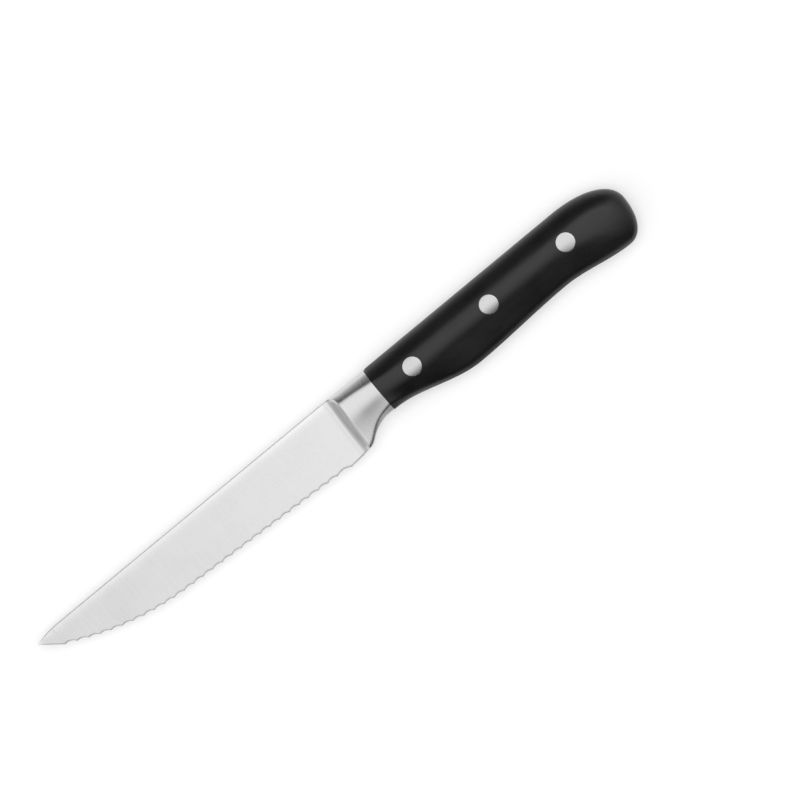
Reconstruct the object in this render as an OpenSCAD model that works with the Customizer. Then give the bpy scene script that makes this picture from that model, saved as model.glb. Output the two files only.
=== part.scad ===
// Forged steak knife with a serrated blade and a riveted handle, lying on its right side.
// +X runs from the tip to the butt, +Y towards the spine and +Z out of the left side.
// The pieces are drawn with the tip at x = 0, the spine at y = 0 and the blade's middle plane at z = 0.
// A depth is a distance below the spine, so y is minus the depth.

/* [Blade] */
// Length along the spine, from the tip to the bolster
blade_len = 126; // [110:1:150]
// Depth of the blade at its heel
heel_depth = 22.4; // [19:0.1:27]
// Thickness of the spine beside the bolster
spine_t = 2.2; // [1.6:0.1:2.6]
// Thickness of the spine near the tip
tip_t = 0.9; // [0.6:0.1:1.4]
// Thickness of the steel just behind the cutting edge
edge_t = 0.34; // [0.2:0.02:0.5]
// Angle between the spine and the straight run of the edge, in degrees
edge_lean = 2.75; // [1:0.25:4]
// Radius of the curved front run of the edge
belly_r = 104.7; // [95:0.1:125]
// Distance from the tip to where that curve ends
belly_len = 51; // [44:1:58]
// Length of the plain edge behind the tip
plain_tip_len = 7.7; // [6:0.1:10]
// How far the tip lies below the spine
tip_drop = 1.4; // [0.8:0.1:2.4]
// Length over which the spine curves down to the tip
tip_drop_len = 10; // [8:0.5:14]
// Bevel that eases the two corners of the spine
spine_ease = 0.3; // [0.1:0.02:0.36]

/* [Serration] */
// Spacing of the teeth along the edge
tooth_pitch = 4; // [3:0.1:5]
// Depth of a scallop between two teeth
scallop_depth = 0.58; // [0.35:0.01:0.75]
// Steel that grinding takes off below the points of the teeth
tooth_stock = 0.3; // [0.2:0.02:0.5]
// Angle between the ground bevel and the blade's side, in degrees
grind_angle = 20; // [16:1:26]
// Length of the wider scallop at the heel
heel_scallop_len = 5.2; // [4.4:0.1:6]
// Depth of the wider scallop at the heel
heel_scallop_depth = 0.75; // [0.5:0.01:0.95]
// Length of the plain edge between the serration and the bolster
plain_heel_len = 6.6; // [6:0.1:10]

/* [Bolster] */
// Length of the bolster along the spine
bolster_len = 16.8; // [14:0.1:20]
// Thickness of the bolster behind the step up from the blade
bolster_front_t = 10; // [6:0.1:11]
// Length of the step up from the blade
step_len = 3.4; // [2:0.1:4]
// How far the step leans towards the tip, for each unit of depth
step_lean = 0.073; // [0:0.005:0.12]
// Radius of the finger rest under the bolster
choil_r = 14; // [11:0.5:18]
// Steepest slope of the finger rest, in degrees
choil_angle = 35; // [28:1:40]
// Length of the level run between the finger rest and the handle
choil_level = 2; // [1.5:0.1:3.5]
// Rise of the heel towards the bolster, for each unit of length
heel_rise = 0.09; // [0.04:0.01:0.12]

/* [Handle] */
// Length of the handle
handle_len = 103; // [96:1:112]
// Thickness across both scales
handle_t = 14; // [12.5:0.1:16]
// Thickness of the tang
tang_t = 2.4; // [2:0.1:3]
// Depth where the handle meets the bolster
grip_depth = 16.8; // [15.5:0.1:18]
// Depth of the belly
belly_depth = 22.8; // [21:0.1:25]
// Depth of the waist before the butt
waist_depth = 21.4; // [20:0.1:23]
// Depth of the hook at the butt
butt_depth = 24.3; // [23:0.1:26]
// Distance from the bolster to the belly
belly_at = 32; // [26:1:38]
// Distance from the bolster to the waist
waist_at = 70; // [64:1:74]
// Distance from the bolster to the hook
hook_at = 95; // [90:0.5:95.5]
// Distance from the bolster to where the back starts to round down
back_end_at = 81; // [76:1:86]
// Depth of the rearmost point of the butt
butt_mid_depth = 11; // [9.5:0.1:13]
// Width of the rounded rim at the butt
butt_round = 6.5; // [5.5:0.1:7.5]
// Depth of the upper ridge where it meets the handle
ridge_depth = 4.5; // [4:0.1:5.2]
// Depth of the lower ridge where it meets the handle
low_ridge_depth = 10.5; // [10:0.1:12]
// Length of the eased upper corner at the front of a scale
corner_ease = 1.4; // [0.6:0.1:2]

/* [Rivets] */
// Diameter of a rivet head
head_d = 6.6; // [5:0.1:7]
// Thickness of a rivet head
head_t = 2.6; // [2:0.1:3.2]
// Outer diameter of the tubular half
socket_d = 4.4; // [4:0.1:4.8]
// Diameter of the solid half's shank
shank_d = 2.8; // [2.2:0.1:3.2]
// Distance from the bolster to the first rivet
rivet_at = 13.8; // [12:0.1:15]
// Spacing of the rivets
rivet_gap = 32.5; // [29:0.5:33.5]
// Depth of the first rivet
rivet_depth = 9.5; // [9:0.1:10]
// Fall of the row of rivets, for each unit of length
row_fall = 0.011; // [0:0.001:0.02]
// Clearance round a rivet in its hole, on the radius
rivet_clearance = 0.04; // [0.02:0.01:0.1]
// Flat surface left outside a rivet head
facet_land = 0.3; // [0.2:0.1:0.8]

/* [Hidden] */
steel = "silver";
black_plastic = [0.07, 0.07, 0.08];
rivet_steel = "gainsboro";

// Steps of the curves
$fn = 96;
tip_steps = 6;
belly_steps = 14;
edge_steps = 6;
step_steps = 9;
bolster_steps = 12;
rib_steps = 7;
handle_steps = 13;
corner_steps = 4;

// Places along the knife
overall_len = blade_len + bolster_len + handle_len;
overall_depth = max(butt_depth, belly_depth, heel_depth);
heel_x = blade_len - plain_heel_len;
handle_x = blade_len + bolster_len;
half_handle = handle_t / 2;
half_tang = tang_t / 2;
half_edge = edge_t / 2;

// Widths across the grip
facet_half = head_d / 2 + facet_land;
heel_round = 0.8;
edge_land = edge_t / 5;
edge_bevel = edge_t / tan(grind_angle);

// Ends of the flat on the handle's side
facet_settle_at = rivet_at;
facet_end_at = handle_len - butt_round;
facet_hook_at = hook_at - butt_round;

// Ridges of the bolster's front end, as shares of the blade's depth
ridge_share = 0.135;
low_ridge_share = 0.56;
// Most of the blade's depth that its eased corner may take near the tip
ease_limit_share = 0.08;

// A rib runs from the outline of the grip to the flat on its side. It holds the height of the wall at the
// outline, the place and height of the knee where a bevel ends, and the place and height of the point that
// bows the rest. Places are shares of the way in from the outline, and heights are shares of the thickness.
top_front_rib_shares = [0.22, 0.12, 0.44, 0.40, 0.76];
low_front_rib_shares = [0.04, 0.12, 0.44, 0.63, 0.72];
top_joint_rib_shares = [0.20, 0.12, 0.44, 0.40, 0.80];
low_joint_rib_shares = [0.30, 0.43, 0.81, 0.75, 0.91];
top_handle_rib_shares = [0.08, 0.10, 0.30, 0.42, 0.80];
low_handle_rib_shares = [0.05, 0.08, 0.16, 0.45, 0.62];
butt_rib_shares = [0.06, 0.06, 0.30, 0.40, 0.88];

// How far a rounded corner's handles reach, and where the handles of an S-shaped run lie
round_share = 0.6;
s_share = 1 / 3;
// Place of the handle that turns the flat's edges towards the bolster's ridges
turn_share = 0.28;
// Depth of an eased corner, as a share of its length, and the lower corner's length, as a share of the
// upper one's
corner_depth_share = 0.5;
low_corner_share = 0.4;

function mix(a, b, t) = a + (b - a) * t;
function clamped(t) = min(max(t, 0), 1);
function ease(t) = let (c = clamped(t)) c * c * (3 - 2 * c);
function sweep_up(t) = let (c = clamped(t)) c * c * (1 + c) / 2;
function soft_min(a, b, r) = min(a, b) - pow(max(r - abs(a - b), 0), 2) / (4 * r);
function quad_curve(a, b, c, t) = mix(mix(a, b, t), mix(b, c, t), t);
function cubic_curve(p, t) = mix(quad_curve(p[0], p[1], p[2], t), quad_curve(p[1], p[2], p[3], t), t);

// Cutting edge of the blank, before the serration is ground
function straight_edge(x) = heel_depth - (heel_x - x) * tan(edge_lean);
belly_centre = [
    belly_len + belly_r * sin(edge_lean),
    straight_edge(belly_len) - belly_r * cos(edge_lean),
];
function belly_edge(x) = belly_centre.y + sqrt(pow(belly_r, 2) - pow(belly_centre.x - x, 2));
function tip_edge(x) = mix(tip_drop, belly_edge(plain_tip_len), x / plain_tip_len);
function edge_depth(x) = x < plain_tip_len ? tip_edge(x) : x < belly_len ? belly_edge(x) : straight_edge(x);
function spine_depth(x) = tip_drop * pow(max(1 - x / tip_drop_len, 0), 2);

// Underside from the heel to the handle
choil_x = handle_x - choil_level;
choil_run = choil_r * sin(choil_angle);
function heel_line(x) = heel_depth - (x - heel_x) * heel_rise;
function choil_arc(x) =
    let (run = min(max(choil_x - x, 0), choil_run))
    grip_depth + choil_r - sqrt(pow(choil_r, 2) - pow(run, 2));
function choil_line(x) = choil_arc(x) + max(choil_x - choil_run - x, 0) * tan(choil_angle);
function under_depth(x) = soft_min(heel_line(x), choil_line(x), heel_round);

// Places and heights of a rib, from the outline inwards
function rib(s) = concat(
    [[0, s[0]]],
    [for (i = [0 : rib_steps]) quad_curve([s[1], s[2]], [s[3], s[4]], [1, 1], i / rib_steps)]
);
function reversed(v) = [for (i = [len(v) - 1 : -1 : 0]) v[i]];

// Height of the blade's side over its middle plane, where its ground faces meet the edge and the spine
function blade_height(x, top, low, depth) =
    mix(mix(tip_t, spine_t, min(x / blade_len, 1)) / 2, half_edge, (depth - top) / (low - top));

// A ring of points round the blade, down its left side and up its right side, as [x, y, z]
function blade_ring(x) =
    let (
        top = spine_depth(x),
        low = edge_depth(x),
        eased = top + min(spine_ease, (low - top) * ease_limit_share),
        left_middle = mix(top, low, low_ridge_share),
        bevel_top = max(low - edge_bevel, left_middle),
        spine_half = blade_height(x, top, low, top) - eased + top
    )
    [
        [x, -top, spine_half],
        [x, -eased, blade_height(x, top, low, eased)],
        [x, -left_middle, blade_height(x, top, low, left_middle)],
        [x, -low, half_edge],
        [x, -low, half_edge - edge_land],
        [x, -bevel_top, -blade_height(x, top, low, bevel_top)],
        [x, -eased, -blade_height(x, top, low, eased)],
        [x, -top, -spine_half],
    ];

// One side of a cross-section through the bolster, from the spine to the underside, as [depth, height].
// The first is the blade's shape carried on, with as many points as the bolster's. back is the share of the
// bolster that lies in front of the section.
function blade_side(x, low, ridge, low_ridge) =
    let (
        top_places = [for (i = [0 : rib_steps]) mix(spine_ease, ridge, i / rib_steps)],
        low_places = [for (i = [0 : rib_steps]) mix(low_ridge, low - edge_bevel, i / rib_steps)]
    )
    concat(
        [[0, blade_height(x, 0, low, 0) - spine_ease]],
        [for (depth = concat(top_places, low_places)) [depth, blade_height(x, 0, low, depth)]],
        [[low, half_edge]]
    );

function bolster_side(low, ridge, low_ridge, back) =
    let (
        crest = mix(bolster_front_t / 2, half_handle, back),
        top_rib = rib(mix(top_front_rib_shares, top_joint_rib_shares, back)),
        low_rib = rib(mix(low_front_rib_shares, low_joint_rib_shares, back))
    )
    concat(
        [for (p = top_rib) [p[0] * ridge, mix(half_tang, crest, p[1])]],
        reversed([for (p = low_rib) [mix(low, low_ridge, p[0]), mix(half_tang, crest, p[1])]])
    );

// A ring of points round the bolster, in the same order as round the blade
function bolster_ring(x) =
    let (
        back = (x - blade_len) / bolster_len,
        step = sweep_up((x - blade_len) / step_len),
        lean = step_lean * (1 - back),
        low = under_depth(x - lean * under_depth(x)),
        ridge = mix(low * ridge_share, ridge_depth, back),
        low_ridge = mix(low * low_ridge_share, low_ridge_depth, back),
        side = mix(blade_side(x, low, ridge, low_ridge), bolster_side(low, ridge, low_ridge, back), step),
        last = len(side) - 1,
        right_foot = mix(edge_land - half_edge, side[last][1], step)
    )
    concat(
        [for (p = side) [x - lean * p[0], -p[0], p[1]]],
        [[x - lean * low, -low, -right_foot]],
        [for (i = [last - 1 : -1 : 0]) [x - lean * side[i][0], -side[i][0], -side[i][1]]]
    );

blade_stations = concat(
    [for (i = [1 : tip_steps]) plain_tip_len * pow(i / tip_steps, 1.5)],
    [for (i = [1 : belly_steps]) mix(plain_tip_len, belly_len, i / belly_steps)],
    [for (i = [1 : edge_steps]) mix(belly_len, heel_x, i / edge_steps)]
);
bolster_stations = concat(
    [for (i = [0 : step_steps - 1]) blade_len + step_len * i / step_steps],
    [for (i = [0 : bolster_steps]) mix(blade_len + step_len, handle_x, i / bolster_steps)]
);

// Triangles of a loft through rings of n points each, the first of which has the number given
function loft_faces(first, rings, n) = [
    for (j = [0 : rings - 2], i = [0 : n - 1])
    let (a = first + j * n + i, b = first + j * n + (i + 1) % n, c = b + n, d = a + n)
    each [[a, c, b], [a, d, c]]
];

// Triangles between a ring and a finer one: partner[i] is the coarse ring's point beside fine point i
function stitch_faces(coarse, fine, partner) = [
    for (i = [0 : len(partner) - 1])
    let (
        k = (i + 1) % len(partner),
        a = coarse + partner[i],
        b = coarse + partner[k],
        d = fine + i,
        c = fine + k
    )
    each a == b ? [[a, d, c]] : [[a, d, c], [a, c, b]]
];

module blade_and_bolster() {
    blade_rings = [for (x = blade_stations) blade_ring(x)];
    bolster_rings = [for (x = bolster_stations) bolster_ring(x)];
    blade_n = len(blade_rings[0]);
    bolster_n = len(bolster_rings[0]);
    bolster_first = 1 + blade_n * len(blade_rings);
    rear_first = bolster_first + bolster_n * (len(bolster_rings) - 1);
    half_ring = concat([0], [for (i = [0 : rib_steps]) 1], [for (i = [0 : rib_steps]) 2], [3]);
    partner = concat(half_ring, [for (i = reversed(half_ring)) blade_n - 1 - i]);
    polyhedron(
        points = concat(
            [[0, -tip_drop, 0]],
            [for (ring = blade_rings) each ring],
            [for (ring = bolster_rings) each ring]
        ),
        faces = concat(
            [for (i = [0 : blade_n - 1]) [0, 1 + i, 1 + (i + 1) % blade_n]],
            loft_faces(1, len(blade_rings), blade_n),
            stitch_faces(bolster_first - blade_n, bolster_first, partner),
            loft_faces(bolster_first, len(bolster_rings), bolster_n),
            [[for (i = [bolster_n - 1 : -1 : 0]) rear_first + i]]
        )
    );
}

// Depth of the row of rivets at a distance from the bolster
function row_depth(at) = rivet_depth + (at - rivet_at) * row_fall;

// Control points of the runs that make up an outline: an S-shaped run between two level ends, a corner that
// starts level and ends upright, and one that starts upright and ends level
function s_run(p, q) = [p, [mix(p.x, q.x, s_share), p.y], [mix(q.x, p.x, s_share), q.y], q];
function down_turn(p, q) = [p, [mix(p.x, q.x, round_share), p.y], [q.x, mix(q.y, p.y, round_share)], q];
function back_turn(p, q) = [p, [p.x, mix(p.y, q.y, round_share)], [mix(q.x, p.x, round_share), q.y], q];
function joint_turn(p, q) = [p, [mix(p.x, q.x, s_share), p.y], [mix(q.x, p.x, turn_share), p.y], q];
function straight_run(p, q) = [p, mix(p, q, s_share), mix(q, p, s_share), q];
// The first and last runs are the eased corners
function traced(runs) = concat(
    [
        for (k = [0 : len(runs) - 1])
        let (steps = k == 0 || k == len(runs) - 1 ? corner_steps : handle_steps)
        for (i = [0 : steps - 1]) cubic_curve(runs[k], i / steps)
    ],
    [runs[len(runs) - 1][3]]
);

// Outline of the grip, from the top of the joint round the butt to the foot of the joint, as distances from
// the bolster and depths
low_corner = corner_ease * low_corner_share;
outline = traced([
    back_turn([0, corner_ease * corner_depth_share], [corner_ease, 0]),
    s_run([corner_ease, 0], [facet_settle_at, 0]),
    s_run([facet_settle_at, 0], [back_end_at, 0]),
    down_turn([back_end_at, 0], [handle_len, butt_mid_depth]),
    back_turn([handle_len, butt_mid_depth], [hook_at, butt_depth]),
    s_run([hook_at, butt_depth], [waist_at, waist_depth]),
    s_run([waist_at, waist_depth], [belly_at, belly_depth]),
    s_run([belly_at, belly_depth], [low_corner, grip_depth]),
    down_turn([low_corner, grip_depth], [0, grip_depth - low_corner * corner_depth_share]),
]);

// Outline of the flat on the grip's side, point for point beside the one above
facet_top = row_depth(facet_settle_at) - facet_half;
facet_back = row_depth(back_end_at) - facet_half;
facet_mid = mix(row_depth(facet_end_at), butt_mid_depth, 0.5);
facet_hook = row_depth(hook_at) + facet_half;
facet_low = row_depth(belly_at) + facet_half;
top_joint = mix([0, ridge_depth], [turn_share * facet_settle_at, facet_top], corner_ease / facet_settle_at);
low_joint = mix([0, low_ridge_depth], [turn_share * belly_at, facet_low], low_corner / belly_at);
facet_outline = traced([
    straight_run([0, ridge_depth], top_joint),
    reversed(joint_turn([facet_settle_at, facet_top], top_joint)),
    s_run([facet_settle_at, facet_top], [back_end_at, facet_back]),
    down_turn([back_end_at, facet_back], [facet_end_at, facet_mid]),
    back_turn([facet_end_at, facet_mid], [facet_hook_at, facet_hook]),
    s_run([facet_hook_at, facet_hook], [waist_at, row_depth(waist_at) + facet_half]),
    s_run([waist_at, row_depth(waist_at) + facet_half], [belly_at, facet_low]),
    joint_turn([belly_at, facet_low], low_joint),
    straight_run(low_joint, [0, low_ridge_depth]),
]);

// Ribs of the grip's side, each from the tang out to the flat
function grip_rib(i) =
    let (
        p = outline[i],
        q = facet_outline[i],
        upper = i < len(outline) / 2,
        joint_shares = upper ? top_joint_rib_shares : low_joint_rib_shares,
        handle_shares = upper ? top_handle_rib_shares : low_handle_rib_shares,
        rounding = ease((p.x - back_end_at) / (handle_len - back_end_at)),
        shares = mix(mix(joint_shares, handle_shares, ease(p.x / facet_settle_at)), butt_rib_shares, rounding)
    )
    concat(
        [[handle_x + p.x, -p.y, half_tang]],
        [
            for (r = rib(shares))
            let (place = mix(p, q, r[0]))
            [handle_x + place.x, -place.y, mix(half_tang, half_handle, r[1])]
        ]
    );

module scale_body() {
    ribs = [for (i = [0 : len(outline) - 1]) grip_rib(i)];
    n = len(ribs[0]);
    m = len(ribs);
    polyhedron(
        points = [for (r = ribs) each r],
        faces = concat(
            [
                for (j = [0 : m - 2], i = [0 : n - 2])
                let (a = j * n + i, b = a + 1, c = b + n, d = a + n)
                each [[a, c, b], [a, d, c]]
            ],
            [[for (j = [m - 1 : -1 : 0]) j * n]],
            [[for (j = [0 : m - 1]) j * n + n - 1]],
            [concat([for (i = [0 : n - 1]) i], [for (i = [n - 1 : -1 : 0]) (m - 1) * n + i])]
        )
    );
}

module tang() {
    inset = grip_depth / 8;
    translate([handle_x, 0, -half_tang])
        linear_extrude(tang_t)
            polygon(concat(
                [[0, 0]],
                [for (i = [corner_steps : len(outline) - 1 - corner_steps]) [outline[i].x, -outline[i].y]],
                [[0, -grip_depth], [-inset, inset - grip_depth], [-inset, -inset]]
            ));
}

// Points of the teeth along the edge, by distance from the first one, as [x, depth, slope]
tooth_r = belly_r - tooth_stock;
first_slope = asin((belly_centre.x - plain_tip_len) / tooth_r);
teeth_on_belly = tooth_r * (first_slope - edge_lean) * PI / 180;
function point_on_belly(slope) = [
    belly_centre.x - tooth_r * sin(slope),
    belly_centre.y + tooth_r * cos(slope),
    slope,
];
function tooth_point(s) =
    let (run = s - teeth_on_belly, slope = max(-run / tooth_r * 180 / PI, 0) + edge_lean)
    point_on_belly(slope) + max(run, 0) * [cos(edge_lean), sin(edge_lean), 0];

straight_teeth = (heel_x - heel_scallop_len - point_on_belly(edge_lean).x) / cos(edge_lean);
tooth_count = floor((teeth_on_belly + straight_teeth) / tooth_pitch + 0.5);

// One scallop, ground by the rim of a wheel that leans away from the blade's right side
module scallop_cut(start, end, depth) {
    chord = norm([end.x - start.x, end.y - start.y]);
    sag = depth * sin(grind_angle);
    wheel_r = (pow(chord / 2, 2) + pow(sag, 2)) / (2 * sag);
    middle = (start + end) / 2;
    slope = atan2(end.y - start.y, end.x - start.x);
    translate([middle.x, -middle.y, half_edge])
        rotate([0, 0, -slope])
            translate([0, depth, 0])
                rotate([-90 - grind_angle, 0, 0])
                    translate([0, wheel_r, 0])
                        cylinder(h = 2 * chord, r = wheel_r, center = true);
}

module serration() {
    last_tooth = tooth_point(tooth_count * tooth_pitch);
    for (i = [0 : tooth_count - 1])
        scallop_cut(tooth_point(i * tooth_pitch), tooth_point((i + 1) * tooth_pitch), scallop_depth);
    scallop_cut(last_tooth, [heel_x, heel_depth, 0], heel_scallop_depth);
}

module at_rivet(i) {
    at = rivet_at + i * rivet_gap;
    translate([handle_x + at, -row_depth(at), 0]) children();
}

module rivet_holes() {
    for (i = [0 : 2])
        at_rivet(i)
            cylinder(h = 2 * handle_t, d = socket_d + 2 * rivet_clearance, center = true);
}

module head_seats() {
    for (i = [0 : 2])
        at_rivet(i)
            translate([0, 0, half_handle - head_t])
                cylinder(h = handle_t, d = head_d + 2 * rivet_clearance);
}

// Moves a piece from the drawing's origin to the knife's own, below the middle of its box
module placed() {
    translate([-overall_len / 2, overall_depth / 2, half_handle]) children();
}

module forged_blade() {
    color(steel)
        placed()
            difference() {
                union() {
                    blade_and_bolster();
                    tang();
                }
                serration();
                rivet_holes();
            }
}

module left_half_scale() {
    difference() {
        scale_body();
        rivet_holes();
        head_seats();
    }
}

module left_scale() {
    color(black_plastic) placed() left_half_scale();
}

module right_scale() {
    color(black_plastic) placed() mirror([0, 0, 1]) left_half_scale();
}

// Solid half of a rivet: a head in the left scale and a shank with an eased end
module rivet_pin(i) {
    shank_end = head_t - half_handle + tang_t / 4;
    end_ease = shank_d / 8;
    color(rivet_steel)
        placed()
            at_rivet(i)
                rotate_extrude()
                    polygon([
                        [0, shank_end],
                        [shank_d / 2 - end_ease, shank_end],
                        [shank_d / 2, shank_end + end_ease],
                        [shank_d / 2, half_handle - head_t],
                        [head_d / 2, half_handle - head_t],
                        [head_d / 2, half_handle],
                        [0, half_handle],
                    ]);
}

// Tubular half of a rivet: a head in the right scale and a tube that the shank fills
module rivet_socket(i) {
    bore_r = shank_d / 2 + rivet_clearance;
    mouth = half_handle - head_t - rivet_clearance;
    color(rivet_steel)
        placed()
            at_rivet(i)
                rotate_extrude()
                    polygon([
                        [0, -half_handle],
                        [head_d / 2, -half_handle],
                        [head_d / 2, head_t - half_handle],
                        [socket_d / 2, head_t - half_handle],
                        [socket_d / 2, mouth],
                        [bore_r, mouth],
                        [bore_r, head_t - half_handle],
                        [0, head_t - half_handle],
                    ]);
}

module front_rivet_pin() { rivet_pin(0); }
module front_rivet_socket() { rivet_socket(0); }
module middle_rivet_pin() { rivet_pin(1); }
module middle_rivet_socket() { rivet_socket(1); }
module rear_rivet_pin() { rivet_pin(2); }
module rear_rivet_socket() { rivet_socket(2); }

forged_blade();
left_scale();
right_scale();
front_rivet_pin();
front_rivet_socket();
middle_rivet_pin();
middle_rivet_socket();
rear_rivet_pin();
rear_rivet_socket();
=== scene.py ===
import math

import bmesh
import bpy
import numpy as np
from mathutils import Matrix, Vector


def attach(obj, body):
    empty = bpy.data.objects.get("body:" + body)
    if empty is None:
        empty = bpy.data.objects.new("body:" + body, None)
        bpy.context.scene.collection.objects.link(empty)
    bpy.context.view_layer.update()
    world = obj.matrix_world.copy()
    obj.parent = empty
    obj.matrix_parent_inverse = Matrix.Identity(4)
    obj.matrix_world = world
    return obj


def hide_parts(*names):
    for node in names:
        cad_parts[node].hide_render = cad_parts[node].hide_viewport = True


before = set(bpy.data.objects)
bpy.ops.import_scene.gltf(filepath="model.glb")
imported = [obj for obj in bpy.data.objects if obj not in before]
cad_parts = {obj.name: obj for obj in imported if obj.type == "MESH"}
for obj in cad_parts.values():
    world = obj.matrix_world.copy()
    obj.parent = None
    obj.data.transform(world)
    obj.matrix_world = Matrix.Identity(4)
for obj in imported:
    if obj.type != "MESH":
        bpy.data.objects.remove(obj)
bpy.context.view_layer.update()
scene = bpy.context.scene
scene.view_settings.view_transform = "Standard"

# The knife in millimetres, drawn with its tip at x = 0. Depths are measured down from the spine, and
# heights from the middle plane of the blade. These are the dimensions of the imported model.
BLADE, BOLSTER, HANDLE = 126.0, 16.8, 103.0
HEEL_DEPTH, SPINE_T, TIP_T, EDGE_T = 22.4, 2.2, 0.9, 0.34
EDGE_LEAN = math.radians(2.75)
BELLY_R, BELLY_LEN, PLAIN_TIP = 104.7, 51.0, 7.7
TIP_DROP, TIP_DROP_LEN = 1.4, 10.0
PITCH, SCALLOP, STOCK, GRIND = 4.0, 0.58, 0.3, math.radians(20)
HEEL_SCALLOP_LEN, HEEL_SCALLOP, PLAIN_HEEL = 5.2, 0.75, 6.6
FRONT_T, STEP_LEN, STEP_LEAN = 10.0, 3.4, 0.073
CHOIL_R, CHOIL_ANGLE, CHOIL_LEVEL, HEEL_RISE, HEEL_ROUND = 14.0, math.radians(35), 2.0, 0.09, 0.8
HANDLE_T, TANG_T, GRIP_DEPTH = 14.0, 2.4, 16.8
BELLY_DEPTH, WAIST_DEPTH, BUTT_DEPTH = 22.8, 21.4, 24.3
BELLY_AT, WAIST_AT, HOOK_AT, BACK_END_AT = 32.0, 70.0, 95.0, 81.0
BUTT_MID, BUTT_ROUND = 11.0, 6.5
RIDGE, LOW_RIDGE, RIDGE_SHARE, LOW_RIDGE_SHARE = 4.5, 10.5, 0.135, 0.56
CORNER, LOW_CORNER = 1.4, 0.56
HEAD_D, HEAD_T, SOCKET_D, SHANK_D = 6.6, 2.6, 4.4, 2.8
RIVET_AT, RIVET_GAP, RIVET_DEPTH, ROW_FALL, CLEARANCE, LAND = 13.8, 32.5, 9.5, 0.011, 0.04, 0.3

LENGTH = BLADE + BOLSTER + HANDLE
DEPTH = max(BUTT_DEPTH, BELLY_DEPTH, HEEL_DEPTH)
HEEL_X, JOINT = BLADE - PLAIN_HEEL, BLADE + BOLSTER
HALF, HALF_TANG, HALF_EDGE = HANDLE_T / 2, TANG_T / 2, EDGE_T / 2
FLAT_HALF = HEAD_D / 2 + LAND

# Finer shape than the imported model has, down to FALL_BUTT_AT.
# Radius of the spine's two edges
SPINE_R = 0.3
# Step left under the edge by the grinding
FOOT = 0.07
# Width and slope of the line that deburring leaves along the edge's plain side, and the largest share of
# the blade's depth that it takes up
LAND_W, LAND_SLOPE, LAND_SHARE = 0.34, 0.36, 0.1
# How much deeper the bolster's upper ridge lies, which makes its shoulder rounder
SHOULDER = 0.27
# How far the bolster's front comes forward towards the spine
STEP_TURN = 0.6
# How much higher the wall of the bolster's lower side is midway along it, as a share of the side's height
LOW_WALL_BOW = 0.0425
# Rounding of the upper ridge, the lower ridge and the lower outline at the bolster's front, and at its
# joint with the handle
SOFT_FRONT, SOFT_JOINT = (0.7, 1.1, 0.15), (0.5, 0.9, 0.15)
# Rounding of the handle's ridges, and of the crest of the bolster's front
SOFT_HANDLE, SOFT_STEP = 0.8, 0.55
# How the face falls off: below which depth and how fast, then above which depth and how fast
FALL_FRONT, FALL_JOINT = (6.0, 0.021, 6.0, 0.0), (7.0, 0.035, 6.6, 0.03)
FALL_HANDLE, FALL_BUTT = (9.0, 0.055, 8.6, 0.04), (9.0, 0.015, 8.6, 0.015)
# Distance along the handle at which the fall of the butt is reached
FALL_BUTT_AT = 89.0

# Angles in degrees from which an edge between two faces shows as sharp
SHARP_BLADE, SHARP_GRIP, SHARP_RIVET = 24, 30, 40
MM_PER_M = 1000
# Stands in for a length of zero that something is divided by
TINY = 1e-6


def placed(points):
    """Points of the drawing, as (x, depth, height) in millimetres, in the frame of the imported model."""
    p = np.asarray(points, float).reshape(-1, 3)
    return np.stack([p[:, 0] - LENGTH / 2, DEPTH / 2 - p[:, 1], p[:, 2] + HALF], 1) / MM_PER_M


def mix(a, b, t):
    return a + (b - a) * t


def blend(a, b, t):
    return tuple(mix(p, q, t) for p, q in zip(a, b))


def clamped(t):
    return min(max(t, 0.0), 1.0)


def ease(t):
    c = clamped(t)
    return c * c * (3 - 2 * c)


def sweep_up(t):
    """Rises from 0 to 1, level at its start and steep at its end."""
    c = clamped(t)
    return c * c * (1 + c) / 2


def step_up(x):
    """Share of the bolster's height that its front has reached, with a softened crest."""
    fineness, reach = 4, 10
    parts = [(i / fineness, math.exp(-((i / fineness) ** 2) / 2)) for i in range(-reach, reach + 1)]
    reached = sum(w * sweep_up((x + SOFT_STEP * s - BLADE) / STEP_LEN) for s, w in parts)
    return reached / sum(w for _, w in parts)


def quad(a, b, c, t):
    return mix(mix(a, b, t), mix(b, c, t), t)


# Lines of the blade


def straight_edge(x):
    """Depth of the blank's straight edge, before the teeth are ground."""
    return HEEL_DEPTH - (HEEL_X - x) * math.tan(EDGE_LEAN)


BELLY_C = (
    BELLY_LEN + BELLY_R * math.sin(EDGE_LEAN),
    straight_edge(BELLY_LEN) - BELLY_R * math.cos(EDGE_LEAN),
)


def belly_edge(x):
    return BELLY_C[1] + math.sqrt(BELLY_R**2 - (BELLY_C[0] - x) ** 2)


def edge_depth(x):
    """Depth of the blank's edge, straight at the tip and the heel with the belly between."""
    if x < PLAIN_TIP:
        return mix(TIP_DROP, belly_edge(PLAIN_TIP), x / PLAIN_TIP)
    return belly_edge(x) if x < BELLY_LEN else straight_edge(x)


def spine_depth(x):
    return TIP_DROP * max(1 - x / TIP_DROP_LEN, 0) ** 2


def soft_min(a, b, r):
    """The lesser of two values, rounded where they lie within r of each other."""
    return min(a, b) - max(r - abs(a - b), 0) ** 2 / (4 * r)


def under_depth(x):
    """Underside from the heel to the handle."""
    choil_x, run = JOINT - CHOIL_LEVEL, CHOIL_R * math.sin(CHOIL_ANGLE)
    inside = min(max(choil_x - x, 0), run)
    choil = GRIP_DEPTH + CHOIL_R - math.sqrt(CHOIL_R**2 - inside**2)
    choil += max(choil_x - run - x, 0) * math.tan(CHOIL_ANGLE)
    return soft_min(HEEL_DEPTH - (x - HEEL_X) * HEEL_RISE, choil, HEEL_ROUND)


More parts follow.
